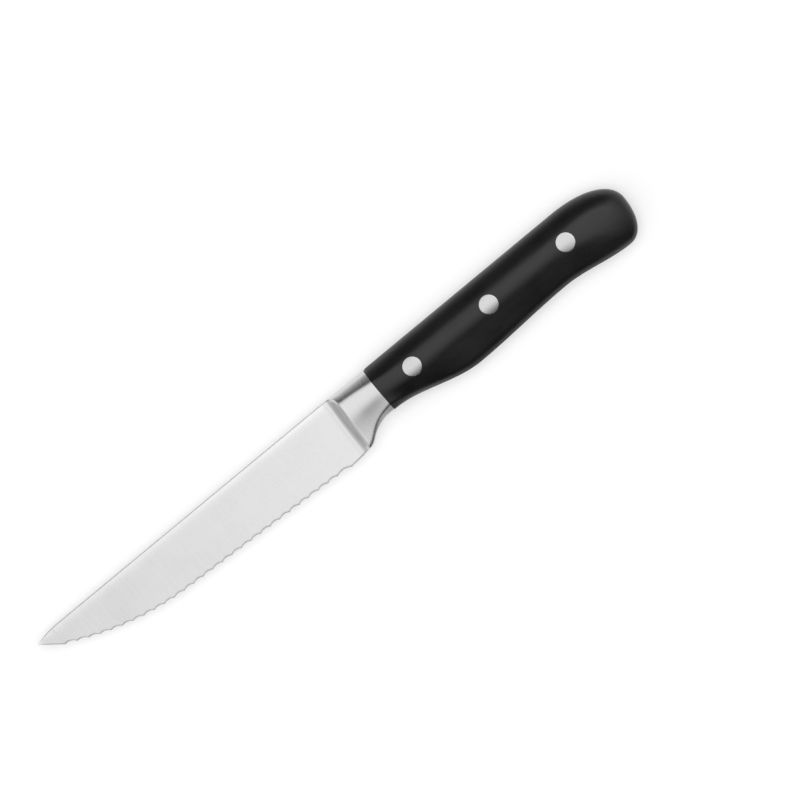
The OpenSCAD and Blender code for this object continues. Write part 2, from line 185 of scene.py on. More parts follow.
# Cross-sections. A side runs from the spine to the underside, with N_TOP points down the upper bevel, of
# which N_TOP_WALL lie on its wall, N_FLAT across the face, N_LOW to the lower bevel and N_BEVEL down that.
N_TOP, N_TOP_WALL, N_FLAT, N_LOW, N_BEVEL = 18, 5, 12, 14, 8
# A rib from the outline in to the face: height of the wall, place and height of the knee, and place and
# height of the point that bows the rest
TOP_FRONT = (0.18, 0.20, 0.43, 0.54, 0.76)
LOW_FRONT = (0.21, 0.07, 0.36, 0.60, 0.66)
TOP_JOINT = (0.18, 0.24, 0.50, 0.56, 0.78)
LOW_JOINT = (0.41, 0.38, 0.81, 0.75, 0.91)
TOP_HANDLE = (0.08, 0.12, 0.37, 0.46, 0.79)
LOW_HANDLE = (0.03, 0.16, 0.35, 0.50, 0.63)
BUTT = (0.06, 0.06, 0.30, 0.40, 0.88)


def rib(shares, n_bevel, n_curve):
    """Shares of a rib, as (place, height), from the outline inwards: a bevel up to the knee and a curve."""
    wall, knee, knee_height, bow, bow_height = shares
    bevel = [(knee * i / n_bevel, mix(wall, knee_height, i / n_bevel)) for i in range(n_bevel)]
    curve = [i / (n_curve - 1) for i in range(n_curve)]
    return bevel + [(quad(knee, bow, 1, t), quad(knee_height, bow_height, 1, t)) for t in curve]


def low_reach(place, soft):
    """Rounding of the lower side, which is least towards the outline."""
    growth, delay = 1.4, 0.2
    return mix(soft[2], soft[1], ease(place * growth - delay))


def soften(chain, reach):
    """Rounds the corners of a chain of points that keeps its ends. reach is the rounding at each point."""
    samples = 400
    p = np.asarray(chain, float)
    run = np.concatenate([[0], np.cumsum(np.linalg.norm(np.diff(p, axis=0), axis=1))])
    even = np.linspace(0, run[-1], samples)
    fine = np.stack([np.interp(even, run, p[:, k]) for k in range(p.shape[1])], 1)
    longer = np.concatenate([2 * fine[0] - fine[:0:-1], fine, 2 * fine[-1] - fine[-2::-1]])
    where = np.concatenate([-even[:0:-1], even, 2 * even[-1] - even[-2::-1]])
    spread = np.broadcast_to(reach, run.shape)[:, None]
    weight = np.exp(-0.5 * ((where[None, :] - run[:, None]) / spread) ** 2)
    return weight @ longer / weight.sum(1, keepdims=True)


def face_fall(depth, falls):
    """How far the face lies below its flat at a depth."""
    below, rate, above, upper_rate = falls
    return rate * max(depth - below, 0) ** 2 + upper_rate * max(above - depth, 0) ** 2


def bolster_side(low, ridge, low_ridge, back):
    """Depths and heights of the bolster's side."""
    crest = mix(FRONT_T / 2, HALF, back)
    falls, soft = blend(FALL_FRONT, FALL_JOINT, back), blend(SOFT_FRONT, SOFT_JOINT, back)
    top_crest, low_crest = (crest - face_fall(depth, falls) for depth in (ridge, low_ridge))
    side, reach = [(0.0, HALF_TANG)], [soft[0]]
    for place, height in rib(blend(TOP_FRONT, TOP_JOINT, back), N_TOP_WALL, N_TOP - N_TOP_WALL - 1):
        side.append((place * ridge, mix(HALF_TANG, top_crest, height)))
        reach.append(soft[0])
    for i in range(1, N_FLAT + 1):
        depth = mix(ridge, low_ridge, i / N_FLAT)
        side.append((depth, crest - face_fall(depth, falls)))
        reach.append(mix(soft[0], soft[1], i / N_FLAT))
    knee = mix(LOW_FRONT[1], LOW_JOINT[1], back**2)
    wall, _, *heights = blend(LOW_FRONT, LOW_JOINT, back)
    shares = (wall + 4 * LOW_WALL_BOW * back * (1 - back), knee, *heights)
    for place, height in reversed(rib(shares, N_BEVEL - 1, N_LOW + 1)[:-1]):
        side.append((mix(low, low_ridge, place), mix(HALF_TANG, low_crest, height)))
        reach.append(low_reach(place, soft))
    return soften(side + [(low, HALF_TANG)], reach + [soft[2]])


def half_spine(x):
    """Half thickness of the spine, which narrows to the very tip."""
    tip_share, narrowing_len = 0.3, 2.6
    narrowing = mix(tip_share, 1, ease(x / narrowing_len))
    return mix(TIP_T, SPINE_T, min(x / BLADE, 1)) / 2 * narrowing


def flank_height(x, blank, depth):
    """Height of the blade's ground side, which thins from the spine to the blank's edge."""
    top, half = spine_depth(x), half_spine(x)
    return mix(half, min(HALF_EDGE, half), (depth - top) / max(blank - top, TINY))


def spine_round(x, blank):
    """Radius of the spine's edges, which shrinks with the blade's size towards the tip."""
    share_of_half, share_of_depth = 0.7, 0.12
    return min(SPINE_R, half_spine(x) * share_of_half, (blank - spine_depth(x)) * share_of_depth)


def blade_height(x, blank, depth):
    """Height of the blade's side with its rounded spine."""
    r, top = spine_round(x, blank), spine_depth(x)
    into = min(depth - top, r)
    return flank_height(x, blank, max(depth, top + r)) - r + math.sqrt(max(r * r - (r - into) ** 2, 0))


def blade_depths(x, blank, low):
    """Depths of the points down the blade's side, as many as down the bolster's."""
    top, r = spine_depth(x), spine_round(x, blank)
    middle = max(mix(top, low, LOW_RIDGE_SHARE), top + r)
    depths = [top + r * (1 - math.cos(math.pi / 2 * i / (N_TOP - 1))) for i in range(N_TOP)]
    depths += [mix(top + r, middle, i / N_FLAT) for i in range(1, N_FLAT + 1)]
    n = N_LOW + N_BEVEL
    return depths + [mix(middle, low, i / n) for i in range(1, n + 1)]


def left_depths(x, blank, low):
    """Depths down the left side, and the depth where the fine line along the edge begins."""
    depths = blade_depths(x, blank, low)
    land = low - min(LAND_W, (low - spine_depth(x)) * LAND_SHARE)
    return depths[:-2] + [max(depths[-2], land), low], land


def left_height(x, blank, depth, land):
    """Height of the left side, which slopes off below the depth of the fine line."""
    return blade_height(x, blank, depth) - max(depth - land, 0) * LAND_SLOPE


def right_depths(x, blank, low, bevel_top):
    """Depths up the right side, of which the first N_BEVEL lie on the ground bevel."""
    flank = blade_depths(x, blank, bevel_top)
    kept = flank[: len(flank) - N_BEVEL - 1] + [bevel_top]
    return [mix(low, bevel_top, i / N_BEVEL) for i in range(N_BEVEL)] + kept[::-1]


def bolster_ring(x):
    """A ring round the plain heel or the bolster, down the left side and up the right side."""
    back = clamped((x - BLADE) / BOLSTER)
    steps = step_up(x), step_up(x + STEP_TURN)
    near = ease((x - HEEL_X) / (BLADE - HEEL_X))
    lean = STEP_LEAN * (1 - back) * near
    low = under_depth(x - lean * under_depth(x))
    ridge = mix(low * RIDGE_SHARE, RIDGE, back) + SHOULDER
    low_ridge = mix(low * LOW_RIDGE_SHARE, LOW_RIDGE, back)
    full = bolster_side(low, ridge, low_ridge, back)

    def step_at(d):
        return mix(*steps, 1 - ease(d / ridge))

    ring = []
    left, land = left_depths(x, low, low)
    right = right_depths(x, low, low, low - EDGE_T / math.tan(GRIND))
    for plain, (depth, height) in zip(left, full):
        d = mix(plain, depth, near)
        ring.append((x - lean * d, d, mix(left_height(x, low, d, land), height, step_at(d))))
    for plain, (depth, height) in zip(right, full[::-1]):
        d = mix(plain, depth, near)
        bevel = HALF_EDGE - LAND_W * LAND_SLOPE - FOOT - (low - d) * math.tan(GRIND)
        ring.append((x - lean * d, d, mix(max(-blade_height(x, low, d), bevel), -height, step_at(d))))
    return ring


# Teeth, cut by the rim of a wheel that leans away from the right side

TOOTH_R = BELLY_R - STOCK
FIRST_SLOPE = math.asin((BELLY_C[0] - PLAIN_TIP) / TOOTH_R)
BELLY_TEETH = TOOTH_R * (FIRST_SLOPE - EDGE_LEAN)


def tooth_point(s):
    """Point of a tooth at a distance along the edge from the first one, as (x, depth)."""
    run = s - BELLY_TEETH
    slope = max(-run / TOOTH_R, 0) + EDGE_LEAN
    x = BELLY_C[0] - TOOTH_R * math.sin(slope) + max(run, 0) * math.cos(EDGE_LEAN)
    depth = BELLY_C[1] + TOOTH_R * math.cos(slope) + max(run, 0) * math.sin(EDGE_LEAN)
    return x, depth


STRAIGHT = (HEEL_X - HEEL_SCALLOP_LEN - (BELLY_C[0] - TOOTH_R * math.sin(EDGE_LEAN))) / math.cos(EDGE_LEAN)
TEETH = math.floor((BELLY_TEETH + STRAIGHT) / PITCH + 0.5)


def scallop_stations(start, end, depth, first=False, steps=14):
    """Points of the edge and of the ground bevel's upper line along one scallop, each as (x, depth)."""
    (x0, d0), (x1, d1) = start, end
    overrun = 0.05
    chord = math.hypot(x1 - x0, d1 - d0)
    along = ((x1 - x0) / chord, (d1 - d0) / chord)
    sag = depth * math.sin(GRIND)
    wheel = ((chord / 2) ** 2 + sag**2) / (2 * sag)
    begin = -chord / 2 * (math.sqrt(1 + STOCK / depth) if first else 1)
    found = []
    for i in range(steps + 1):
        s = mix(begin, chord / 2, i / steps)
        delta = wheel - math.sqrt(wheel**2 - s**2)
        rise = depth - delta / math.sin(GRIND)
        reach = (2 * HALF_EDGE + overrun - delta * math.cos(GRIND)) / math.sin(GRIND)
        top = depth - delta * math.sin(GRIND) + max(reach, overrun) * math.cos(GRIND)
        x, d = (x0 + x1) / 2 + s * along[0], (d0 + d1) / 2 + s * along[1]
        found.append(tuple((x + r * along[1], d - r * along[0]) for r in (rise, top)))
    return found


def edge_stations():
    """All stations of the blade up to the heel. Those of the plain tip crowd towards its point."""
    steps, reach, crowding, bevel_share = 11, 0.94, 1.5, 0.35
    found = []
    for i in range(1, steps + 1):
        x = PLAIN_TIP * reach * (i / steps) ** crowding
        low = edge_depth(x)
        rise = min(EDGE_T / math.tan(GRIND), (low - spine_depth(x)) * bevel_share)
        found.append(((x, low), (x, low - rise)))
    for i in range(TEETH):
        stations = scallop_stations(tooth_point(i * PITCH), tooth_point((i + 1) * PITCH), SCALLOP, i == 0)
        found += stations if i == 0 else stations[1:]
    return found + scallop_stations(tooth_point(TEETH * PITCH), (HEEL_X, HEEL_DEPTH), HEEL_SCALLOP)[1:]


def serrated_ring(edge, ground):
    """A ring whose lower end lies at the edge point, with the ground bevel on the right side."""
    (x, low), (gx, gd) = edge, ground
    blank, top = edge_depth(x), spine_depth(x)
    depths, land = left_depths(x, blank, low)
    ring = [(x, d, left_height(x, blank, d, land)) for d in depths]
    foot, bevel_top = ring[-1][2] - FOOT, -blade_height(gx, edge_depth(gx), gd)
    for i, d in enumerate(right_depths(x, blank, low, gd)):
        if i < N_BEVEL:
            ring.append((mix(x, gx, i / N_BEVEL), d, mix(foot, bevel_top, i / N_BEVEL)))
        else:
            share = (d - top) / max(gd - top, TINY)
            ring.append((mix(x, gx, share**2), d, -blade_height(x, blank, d)))
    return ring


# Meshes


def mark_wear_and_sheen(mesh):
    """Stores how sharply the surface turns outwards at each point, where handling would buff it, and where
    the materials also paint a highlight along the edges.
    """
    # Curvature, in 1/m, from which wear and the painted edge highlight start, and over which they grow to
    # their full amount
    least, span = 250, 1500
    build = bmesh.new()
    build.from_mesh(mesh)
    build.normal_update()
    edge_wear_and_sheen = np.zeros(len(build.verts))
    for i, vert in enumerate(build.verts):
        for edge in vert.link_edges:
            away = vert.co - edge.other_vert(vert).co
            edge_wear_and_sheen[i] = max(edge_wear_and_sheen[i], 2 * away.dot(vert.normal) / max(away.length_squared, 1e-12))
    build.free()
    amount = np.clip((edge_wear_and_sheen - least) / span, 0, 1)
    mesh.attributes.new("wear_and_sheen", "FLOAT", "POINT").data.foreach_set("value", amount.astype(np.float32))


def smooth_mesh(name, points, faces, angle, ground=()):
    """A mesh of the drawing's points, smooth but for its sharp edges, its rubbed edges (which also carry a
    painted highlight) and ground points marked.
    """
    merged = 1e-7
    mesh = bpy.data.meshes.new(name)
    mesh.from_pydata([tuple(p) for p in placed(points)], [], faces)
    marks = np.zeros(len(points), np.float32)
    marks[list(ground)] = 1
    mesh.attributes.new("ground", "FLOAT", "POINT").data.foreach_set("value", marks)
    mesh.validate()
    build = bmesh.new()
    build.from_mesh(mesh)
    bmesh.ops.remove_doubles(build, verts=build.verts, dist=merged)
    bmesh.ops.recalc_face_normals(build, faces=build.faces)
    for face in build.faces:
        face.smooth = True
    for edge in build.edges:
        if len(edge.link_faces) == 2:
            edge.smooth = edge.calc_face_angle(0) < math.radians(angle)
    build.to_mesh(mesh)
    build.free()
    mark_wear_and_sheen(mesh)
    return mesh


def add_piece(name, mesh, material, node):
    obj = bpy.data.objects.new(name, mesh)
    scene.collection.objects.link(obj)
    mesh.materials.append(material)
    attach(obj, "root")
    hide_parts(node)
    return obj


def loft(rings, tip):
    """Points and faces of a loft from a tip through closed rings of equal count."""
    n = len(rings[0])
    points = [tip] + [p for ring in rings for p in ring]
    faces = [(0, 1 + (i + 1) % n, 1 + i) for i in range(n)]
    for j in range(len(rings) - 1):
        for i in range(n):
            a, b = 1 + j * n + i, 1 + j * n + (i + 1) % n
            faces.append((a, b, b + n, a + n))
    faces.append(tuple(1 + (len(rings) - 1) * n + i for i in range(n)))
    return points, faces


# Outline of the grip

# How far the inner points of a run lie along it: in an S, in a rounded turn and where it leaves the joint
S_SHARE, ROUND_SHARE, TURN_SHARE = 1 / 3, 0.6, 0.28
# Steps along an eased corner, and along a run
CORNER_STEPS, RUN_STEPS = 6, 28
# Steps from the outline up the bevel, over the curve to the face, and across the face
N_GRIP_BEVEL, N_GRIP_CURVE, N_GRIP_FACE = 6, 20, 14


# Each run is a cubic curve from p to q, as its four control points


def s_run(p, q):
    return [p, (mix(p[0], q[0], S_SHARE), p[1]), (mix(q[0], p[0], S_SHARE), q[1]), q]


def down_turn(p, q):
    return [p, (mix(p[0], q[0], ROUND_SHARE), p[1]), (q[0], mix(q[1], p[1], ROUND_SHARE)), q]


def back_turn(p, q):
    return [p, (p[0], mix(p[1], q[1], ROUND_SHARE)), (mix(q[0], p[0], ROUND_SHARE), q[1]), q]


def joint_turn(p, q):
    return [p, (mix(p[0], q[0], S_SHARE), p[1]), (mix(q[0], p[0], TURN_SHARE), p[1]), q]


def straight_run(p, q):
    return [p, blend(p, q, S_SHARE), blend(q, p, S_SHARE), q]


def traced(runs):
    """Points along the runs, of which the first and the last are the eased corners."""
    found = []
    for k, run in enumerate(runs):
        a, b, c, d = (np.array(v, float) for v in run)
        steps = CORNER_STEPS if k in (0, len(runs) - 1) else RUN_STEPS
        for t in (i / steps for i in range(steps)):
            found.append(mix(quad(a, b, c, t), quad(b, c, d, t), t))
    found.append(np.array(runs[-1][3], float))
    return found


def row_depth(at):
    """Depth of the row of rivets."""
    return RIVET_DEPTH + (at - RIVET_AT) * ROW_FALL


def grip_lines():
    """The grip's outline and the edge of its face, point for point, as (distance from the bolster, depth).

    Both run from the bolster along the spine, round the butt and back along the underside."""
    end_at, hook_at = HANDLE - BUTT_ROUND, HOOK_AT - BUTT_ROUND
    outline = traced(
        [
            back_turn((0, CORNER / 2), (CORNER, 0)),
            s_run((CORNER, 0), (RIVET_AT, 0)),
            s_run((RIVET_AT, 0), (BACK_END_AT, 0)),
            down_turn((BACK_END_AT, 0), (HANDLE, BUTT_MID)),
            back_turn((HANDLE, BUTT_MID), (HOOK_AT, BUTT_DEPTH)),
            s_run((HOOK_AT, BUTT_DEPTH), (WAIST_AT, WAIST_DEPTH)),
            s_run((WAIST_AT, WAIST_DEPTH), (BELLY_AT, BELLY_DEPTH)),
            s_run((BELLY_AT, BELLY_DEPTH), (LOW_CORNER, GRIP_DEPTH)),
            down_turn((LOW_CORNER, GRIP_DEPTH), (0, GRIP_DEPTH - LOW_CORNER / 2)),
        ]
    )
    top = (RIVET_AT, row_depth(RIVET_AT) - FLAT_HALF)
    back = (BACK_END_AT, row_depth(BACK_END_AT) - FLAT_HALF)
    end = (end_at, mix(row_depth(end_at), BUTT_MID, 0.5))
    hook = (hook_at, row_depth(HOOK_AT) + FLAT_HALF)
    waist = (WAIST_AT, row_depth(WAIST_AT) + FLAT_HALF)
    belly = (BELLY_AT, row_depth(BELLY_AT) + FLAT_HALF)
    top_joint = blend((0, RIDGE + SHOULDER), (TURN_SHARE * RIVET_AT, top[1]), CORNER / RIVET_AT)
    low_joint = blend((0, LOW_RIDGE), (TURN_SHARE * BELLY_AT, belly[1]), LOW_CORNER / BELLY_AT)
    face = traced(
        [
            straight_run((0, RIDGE + SHOULDER), top_joint),
            joint_turn(top, top_joint)[::-1],
            s_run(top, back),
            down_turn(back, end),
            back_turn(end, hook),
            s_run(hook, waist),
            s_run(waist, belly),
            joint_turn(belly, low_joint),
            straight_run(low_joint, (0, LOW_RIDGE)),
        ]
    )
    return outline, face


def face_height(at, depth):
    """Height of the grip's face over the blade's middle plane."""
    falls = blend(FALL_JOINT, FALL_HANDLE, ease(at / RIVET_AT))
    falls = blend(falls, FALL_BUTT, ease((at - WAIST_AT) / (FALL_BUTT_AT - WAIST_AT)))
    return HALF - face_fall(depth, falls)


def grip_rib(p, q, upper):
    """Points from the outline up to the edge of the face, as (at, depth, height), and their rounding."""
    shares = (TOP_JOINT, TOP_HANDLE) if upper else (LOW_JOINT, LOW_HANDLE)
    shares = blend(*shares, ease(p[0] / RIVET_AT))
    shares = blend(shares, BUTT, ease((p[0] - BACK_END_AT) / (HANDLE - BACK_END_AT)))
    points, places = [(p[0], p[1], HALF_TANG)], [0.0]
    for place, height in rib(shares, N_GRIP_BEVEL, N_GRIP_CURVE):
        points.append((*mix(p, q, place), mix(HALF_TANG, face_height(*q), height)))
        places.append(place)
    at_joint = [SOFT_JOINT[0] if upper else low_reach(place, SOFT_JOINT) for place in places]
    handle_share = [ease(x / (RIVET_AT / 2)) for x, _, _ in points]
    return points, [mix(r, SOFT_HANDLE, share) for r, share in zip(at_joint, handle_share)]


def grip_mesh(name, side):
    """One scale: chains of points that run over it from the upper outline to the lower one."""
    outline, face = grip_lines()
    last = len(outline) - 1
    chains = []
    for k in range(last // 2):
        upper, upper_reach = grip_rib(outline[k], face[k], True)
        lower, lower_reach = grip_rib(outline[last - k], face[last - k], False)
        middle, reach = [], []
        for share in (c / N_GRIP_FACE for c in range(1, N_GRIP_FACE)):
            x, d, _ = mix(np.array(upper[-1]), np.array(lower[-1]), share)
            middle.append((x, d, face_height(x, d)))
            reach.append(mix(upper_reach[-1], lower_reach[-1], share))
        chains.append(soften(upper + middle + lower[::-1], upper_reach + reach + lower_reach[::-1]))
    n = len(chains[0])
    points = [tuple(v) for chain in chains for v in chain]
    faces = []
    for j in range(len(chains) - 1):
        for i in range(n - 1):
            a = j * n + i
            faces.append((a, a + 1, a + n + 1, a + n))
    # The middle of the butt, softened as if mirrored at the face, between the two halves of the last chain
    ridge, reach = grip_rib(outline[last // 2], face[last // 2], False)
    ridge = soften(ridge + ridge[-2::-1], reach + reach[-2::-1])[: len(ridge)]
    base, tip, m = (len(chains) - 1) * n, len(points), len(ridge)
    points += [tuple(v) for v in ridge]
    for i in range(m - 1):
        faces.append((base + i, base + i + 1, tip + i + 1, tip + i))
        faces.append((base + n - 1 - i, tip + i, tip + i + 1, base + n - 2 - i))
    faces += [(base + i, base + i + 1, tip + m - 1) for i in range(m - 1, n - m)]
    # The inner face on the tang, and the end at the bolster
    ends = [j * n for j in range(len(chains))]
    faces.append(tuple(ends + [tip] + [a + n - 1 for a in reversed(ends)]))
    faces.append(tuple(range(n)))
    return smooth_mesh(name, [(x + JOINT, d, h * side) for x, d, h in points], faces, SHARP_GRIP)


def rivet_places():
    return [(RIVET_AT + i * RIVET_GAP, row_depth(RIVET_AT + i * RIVET_GAP)) for i in range(3)]


def cut_holes(obj, side):
    """Sinks the seats of the rivet heads and the holes for their tubes into a scale."""
    segments = 96
    whole = bpy.data.objects.new("whole_" + obj.name, obj.data.copy())
    scene.collection.objects.link(whole)
    cutter = bmesh.new()
    for at, depth in rivet_places():
        for d, low, high in ((HEAD_D, HALF - HEAD_T, 2 * HALF), (SOCKET_D, -2 * HALF, 2 * HALF)):
            r, long = (d / 2 + CLEARANCE) / MM_PER_M, (high - low) / MM_PER_M
            made = bmesh.ops.create_cone(
                cutter, cap_ends=True, segments=segments, radius1=r, radius2=r, depth=long
            )
            where = placed([(JOINT + at, depth, side * (high + low) / 2)])[0]
            bmesh.ops.translate(cutter, vec=where, verts=made["verts"])
    mesh = bpy.data.meshes.new("cutter")
    cutter.to_mesh(mesh)
    cutter.free()
    tool = bpy.data.objects.new("cutter", mesh)
    scene.collection.objects.link(tool)
    cut = obj.modifiers.new("holes", "BOOLEAN")
    cut.operation, cut.solver, cut.use_self, cut.object = "DIFFERENCE", "EXACT", True, tool
    # The cut scale keeps the shading of the whole one
    shade = obj.modifiers.new("shade", "DATA_TRANSFER")
    shade.object, shade.use_loop_data = whole, True
    shade.data_types_loops = {"CUSTOM_NORMAL"}
    shade.loop_mapping = "POLYINTERP_NEAREST"
    made = bpy.data.meshes.new_from_object(obj.evaluated_get(bpy.context.evaluated_depsgraph_get()))
    obj.modifiers.clear()
    obj.data = made
    bpy.data.objects.remove(tool)
    bpy.data.objects.remove(whole)


def rivet_half(name, at, depth, side, pin):
    """The solid or the tubular half of a rivet, turned, with a head that follows the face of the scale."""
    r, rim, seat = HEAD_D / 2, 0.12, HALF - HEAD_T
    n_top, n_rim, segments = 9, 5, 72
    profile = [((r - rim) * i / n_top, 0.0) for i in range(1, n_top + 1)]
    for i in range(1, n_rim + 1):
        turn = math.pi / 2 * i / n_rim
        profile.append((r - rim + rim * math.sin(turn), -rim * (1 - math.cos(turn))))
    if pin:
        end, shank, eased = TANG_T / 4 - seat, SHANK_D / 2, SHANK_D / 8
        inner = [(shank, seat), (shank, end + eased), (shank - eased, end)]
    else:
        tube, bore, mouth = SOCKET_D / 2, SHANK_D / 2 + CLEARANCE, CLEARANCE - seat
        inner = [(tube, seat), (tube, mouth), (bore, mouth), (bore, seat)]
    turns = [2 * math.pi * k / segments for k in range(segments)]
    points = [(at, depth, face_height(at, depth))]
    for radius, fall in profile:
        for a in turns:
            x, d = at + radius * math.cos(a), depth + radius * math.sin(a)
            points.append((x, d, face_height(x, d) + fall))
    for radius, height in [(r, seat)] + inner:
        points += [(at + radius * math.cos(a), depth + radius * math.sin(a), height) for a in turns]
    rows = len(profile) + 1 + len(inner)
    faces = [(0, 1 + k, 1 + (k + 1) % segments) for k in range(segments)]
    for j in range(rows - 1):
        for k in range(segments):
            a, b = 1 + j * segments + k, 1 + j * segments + (k + 1) % segments
            faces.append((a, b, b + segments, a + segments))
    faces.append(tuple(1 + (rows - 1) * segments + k for k in range(segments)))
    return smooth_mesh(name, [(x + JOINT, d, h * side) for x, d, h in points], faces, SHARP_RIVET)


# How far the tang reaches into the bolster
TANG_ROOT = 0.5


def tang_mesh(name):
    """The flat tang, with its rivet holes, that runs from inside the bolster to the butt."""
    outline, _ = grip_lines()
    loop = [(JOINT + at, depth) for at, depth in outline[CORNER_STEPS:-CORNER_STEPS]]
    start, low = JOINT - TANG_ROOT, GRIP_DEPTH - TANG_ROOT
    rings = [loop + [(JOINT, GRIP_DEPTH), (start, low), (start, TANG_ROOT), (JOINT, 0)]]
    r, segments = SOCKET_D / 2 + CLEARANCE, 48
    for at, depth in rivet_places():
        turns = [2 * math.pi * k / segments for k in range(segments)]
        rings.append([(JOINT + at + r * math.cos(a), depth + r * math.sin(a)) for a in turns])
    build, edges = bmesh.new(), []
    for ring in rings:
        made = [build.verts.new(placed([(x, d, -HALF_TANG)])[0]) for x, d in ring]
        edges += [build.edges.new((made[i], made[(i + 1) % len(made)])) for i in range(len(made))]
    filled = bmesh.ops.triangle_fill(build, edges=edges, use_beauty=True)
    flat = [f for f in filled["geom"] if isinstance(f, bmesh.types.BMFace)]
    grown = bmesh.ops.extrude_face_region(build, geom=flat)
    raised = [v for v in grown["geom"] if isinstance(v, bmesh.types.BMVert)]
    bmesh.ops.translate(build, vec=(0, 0, TANG_T / MM_PER_M), verts=raised)
    bmesh.ops.recalc_face_normals(build, faces=build.faces)
    mesh = bpy.data.meshes.new(name)
    build.to_mesh(mesh)
    build.free()
    return mesh


def blade_mesh(name):
    """Blade, bolster and tang, as one forging."""
    n_heel, n_front, n_bolster = 10, 36, 24
    rings = [serrated_ring(*station) for station in edge_stations()]
    rings += [bolster_ring(mix(HEEL_X, BLADE, i / n_heel)) for i in range(1, n_heel)]
    n, edged = len(rings[0]), len(rings)
    # The front ends where its softened crest has faded
    crest = BLADE + STEP_LEN + 3 * SOFT_STEP
    rings += [bolster_ring(mix(BLADE, crest, i / n_front)) for i in range(n_front)]
    rings += [bolster_ring(mix(crest, JOINT, i / n_bolster)) for i in range(n_bolster + 1)]
    ground = [1 + j * n + n // 2 + i for j in range(edged) for i in range(N_BEVEL)]
    mesh = smooth_mesh(name, *loft(rings, (0, TIP_DROP, 0)), SHARP_BLADE, ground)
    build = bmesh.new()
    build.from_mesh(mesh)
    build.from_mesh(tang_mesh("tang"))
    build.to_mesh(mesh)
    build.free()
    return mesh


# Materials


def shader_node(tree, kind, inputs=None, **settings):
    """Adds a node. Its inputs are given as values or as the outputs of other nodes."""
    made = tree.nodes.new("ShaderNode" + kind)
    for name, value in settings.items():
        setattr(made, name, value)
    for key, value in (inputs or {}).items():
        if isinstance(value, bpy.types.NodeSocket):
            tree.links.new(value, made.inputs[key])
        else:
            made.inputs[key].default_value = value
    return made


def new_material(name):
    material = bpy.data.materials.new(name)
    material.use_nodes = True
    return material, material.node_tree, material.node_tree.nodes["Principled BSDF"]


def grain(tree, waves, detail, roughness):
    """Noise with so many waves to the metre along each axis."""
    where = shader_node(tree, "TexCoord").outputs["Object"]
    scaled = shader_node(tree, "Mapping", {"Vector": where, "Scale": waves}).outputs[0]
    inputs = {"Vector": scaled, "Scale": 1.0, "Detail": detail, "Roughness": roughness}
    return shader_node(tree, "TexNoise", inputs).outputs["Fac"]


def ranged(tree, value, low, high, start=0.3, end=0.7):
    """Maps a value from start and end, by default the usual range of a noise, to low and high."""
    inputs = {"Value": value, "From Min": start, "From Max": end, "To Min": low, "To Max": high}
    return shader_node(tree, "MapRange", inputs).outputs[0]


def maths(tree, operation, a, b):
    return shader_node(tree, "Math", {0: a, 1: b}, operation=operation).outputs[0]


def total(tree, first, *others):
    for other in others:
        first = maths(tree, "ADD", first, other)
    return first


def attribute(tree, name):
    return shader_node(tree, "Attribute", attribute_name=name).outputs["Fac"]


def bump(tree, height, distance, normal=None):
    inputs = {"Height": height, "Distance": distance, "Strength": 1.0}
    if normal:
        inputs["Normal"] = normal
    return shader_node(tree, "Bump", inputs).outputs[0]


def grey_mix(tree, factor, low, high):
    """A grey between two levels, very slightly blue."""
    blue_low, blue_high = low * 1.006, high * 1.004
    inputs = {0: factor, 6: (low, low, blue_low, 1), 7: (high, high, blue_high, 1)}
    return shader_node(tree, "Mix", inputs, data_type="RGBA").outputs[2]


def level_ramp(tree, value, levels):
    """Grey levels over a value, as (value, level) in rising order."""
    start, end = levels[0][0], levels[-1][0]
    ramp = shader_node(tree, "ValToRGB", {0: ranged(tree, value, 0.0, 1.0, start, end)})
    stops = ramp.color_ramp.elements
    stops[0].position, stops[1].position = 0.0, 1.0
    for place, _ in levels[1:-1]:
        stops.new((place - start) / (end - start))
    for stop, (_, level) in zip(stops, levels):
        stop.color = (level, level, level, 1)
    return ramp.outputs["Color"]


# Painted highlight along the strip beside the spine, as (Y in metres, share), and the two X between which
# it fades
PAINTED_SPINE_HIGHLIGHT = ((0.0085, 0), (0.0100, 0.3), (0.0108, 0.8), (0.0115, 1), (0.0118, 0))
PAINTED_HIGHLIGHT_FADE = (0.001, 0.004)
# How much brighter the edges (by wear and by a painted highlight), the ground bevel and the painted
# highlight beside the spine are
WEAR_AND_SHEEN_GAIN, GROUND_POLISH, PAINTED_HIGHLIGHT_GAIN = 0.12, 0.3, 0.35
# How much painted light brightens the steel from the tip to the heel, and between which X in metres
PAINTED_LIGHT_GAIN, PAINTED_LIGHT_RUN = 0.175, (-0.12, 0.0)


